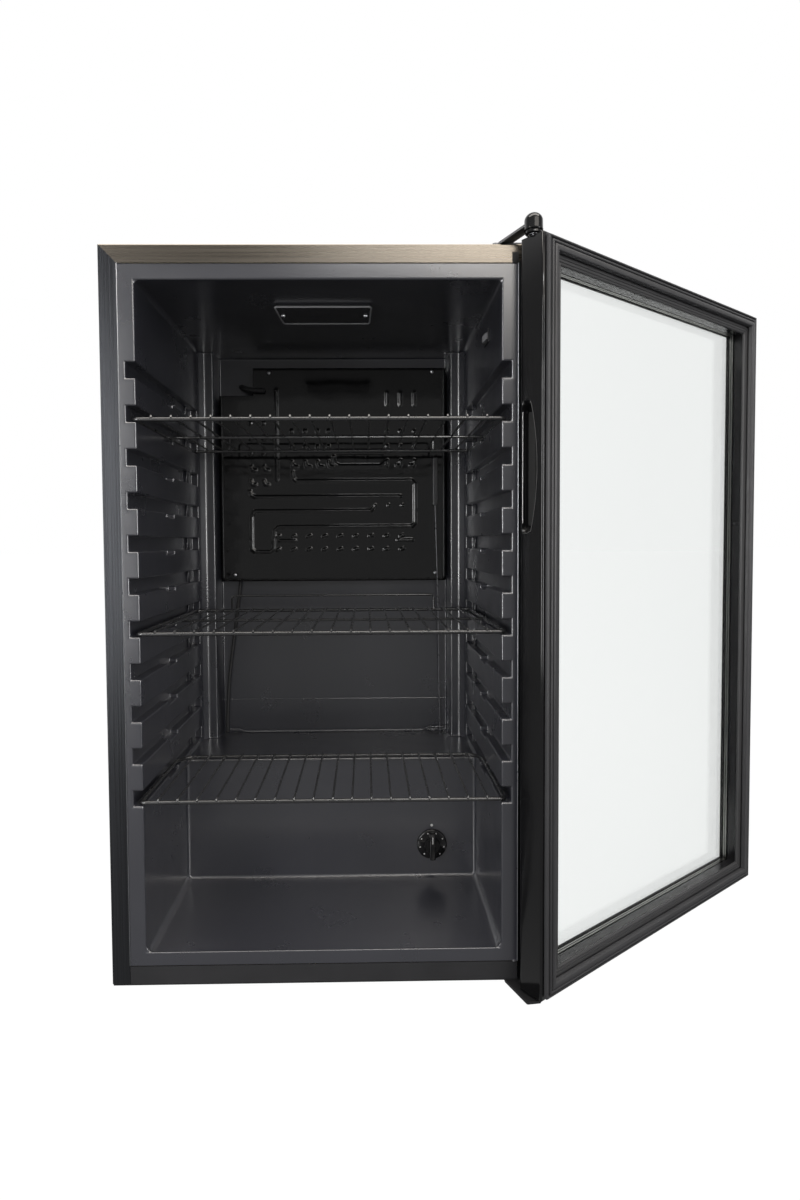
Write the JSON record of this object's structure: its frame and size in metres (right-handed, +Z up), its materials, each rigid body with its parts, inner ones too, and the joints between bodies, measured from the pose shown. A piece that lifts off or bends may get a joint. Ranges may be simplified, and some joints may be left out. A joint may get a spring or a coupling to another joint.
{
  "type": "glass door merchandiser",
  "caption": "Counter-height refrigerated display cabinet with one hinged double-glazed door, shown open, sliding wire shelves in grooved side walls, and its cooling machinery behind a step.",
  "frame": {"origin": "centre of the footprint's bounding box on the surface the cabinet stands on, with the door open as stored", "axes": "+Z up, -Y out of the cabinet's front, +X to the right as seen from the front"},
  "size_m": [0.854, 0.4644, 0.862],
  "materials": {
    "aluminium": "satin",
    "black_coated_metal": "satin",
    "black_gloss_plastic": "gloss",
    "black_matte_plastic": "matte",
    "black_rubber": "matte",
    "brushed_black_steel": "satin",
    "clear_glass": "gloss",
    "clear_lens": "gloss",
    "copper": "satin",
    "graphite_liner": "satin",
    "insulation_foam": "matte",
    "white_plastic": "satin",
    "zinc_plated_steel": "satin"
  },
  "bodies": {
    "cabinet": {"base_tray": "black_coated_metal", "bottom_hinge_bracket": "black_coated_metal", "bottom_hinge_pin": "zinc_plated_steel", "compressor_base": "black_coated_metal", "compressor_grommet_1": "black_rubber", "compressor_grommet_2": "black_rubber", "compressor_grommet_3": "black_rubber", "compressor_grommet_4": "black_rubber", "compressor_shell": "black_coated_metal", "condenser_coil": "black_coated_metal", "cord_gland": "black_rubber", "drain_tube": "white_plastic", "drip_tray": "black_matte_plastic", "evaporator_cable": "black_rubber", "evaporator_line": "copper", "evaporator_plate": "black_gloss_plastic", "filter_drier": "copper", "foot_front_left": "black_rubber", "foot_front_right": "black_rubber", "foot_rear_left": "black_rubber", "foot_rear_right": "black_rubber", "front_plinth": "black_matte_plastic", "inner_liner": "graphite_liner", "insulation_foam": "insulation_foam", "lamp_board": "white_plastic", "lamp_cover": "clear_lens", "lamp_housing": "white_plastic", "lamp_screw_left": "zinc_plated_steel", "lamp_screw_right": "zinc_plated_steel", "light_switch_housing": "black_matte_plastic", "outer_wrapper": "brushed_black_steel", "rear_panel": "black_coated_metal", "relay_cover": "black_matte_plastic", "sensor_capillary": "zinc_plated_steel", "sensor_holder": "black_matte_plastic", "suction_line": "copper", "thermostat_body": "zinc_plated_steel", "top_hinge_bracket": "zinc_plated_steel", "top_hinge_cap": "black_matte_plastic", "top_hinge_pin": "zinc_plated_steel", "top_hinge_screw_1": "zinc_plated_steel", "top_hinge_screw_2": "zinc_plated_steel"},
    "door": {"door_bottom_bush": "white_plastic", "door_bottom_rail": "black_matte_plastic", "door_gasket": "black_rubber", "door_hinge_stile": "black_matte_plastic", "door_hinge_trim": "black_gloss_plastic", "door_inner_glass": "clear_glass", "door_latch_stile": "black_matte_plastic", "door_latch_trim": "black_gloss_plastic", "door_outer_glass": "clear_glass", "door_top_bush": "white_plastic", "door_top_rail": "black_matte_plastic", "glass_spacer": "aluminium"},
    "top_shelf_body": {"top_shelf": "black_coated_metal"},
    "middle_shelf_body": {"middle_shelf": "black_coated_metal"},
    "lower_shelf_body": {"lower_shelf": "black_coated_metal"},
    "thermostat_knob_body": {"thermostat_knob": "black_gloss_plastic"},
    "light_switch_rocker_body": {"light_switch_rocker": "white_plastic"}
  },
  "joints": [
    {"name": "door_hinge", "type": "hinge", "parent": "cabinet", "child": "door", "pos_m": [0.04342, -0.21215, 0.415], "axis": [0, 0, 1], "range_deg": [-217, 0]},
    {"name": "top_shelf_slide", "type": "slide", "parent": "cabinet", "child": "top_shelf_body", "axis": [0, -1, 0], "range_m": [0, 0.2]},
    {"name": "middle_shelf_slide", "type": "slide", "parent": "cabinet", "child": "middle_shelf_body", "axis": [0, -1, 0], "range_m": [0, 0.2]},
    {"name": "lower_shelf_slide", "type": "slide", "parent": "cabinet", "child": "lower_shelf_body", "axis": [0, -1, 0], "range_m": [0, 0.12]},
    {"name": "thermostat_turn", "type": "hinge", "parent": "cabinet", "child": "thermostat_knob_body", "pos_m": [-0.04698, 0.00445, 0.0907], "axis": [0, -1, 0], "range_deg": [-135, 135]},
    {"name": "light_switch_rock", "type": "hinge", "parent": "cabinet", "child": "light_switch_rocker_body", "pos_m": [0.01502, -0.09355, 0.765], "axis": [0, 0, 1], "range_deg": [-12, 0]}
  ]
}
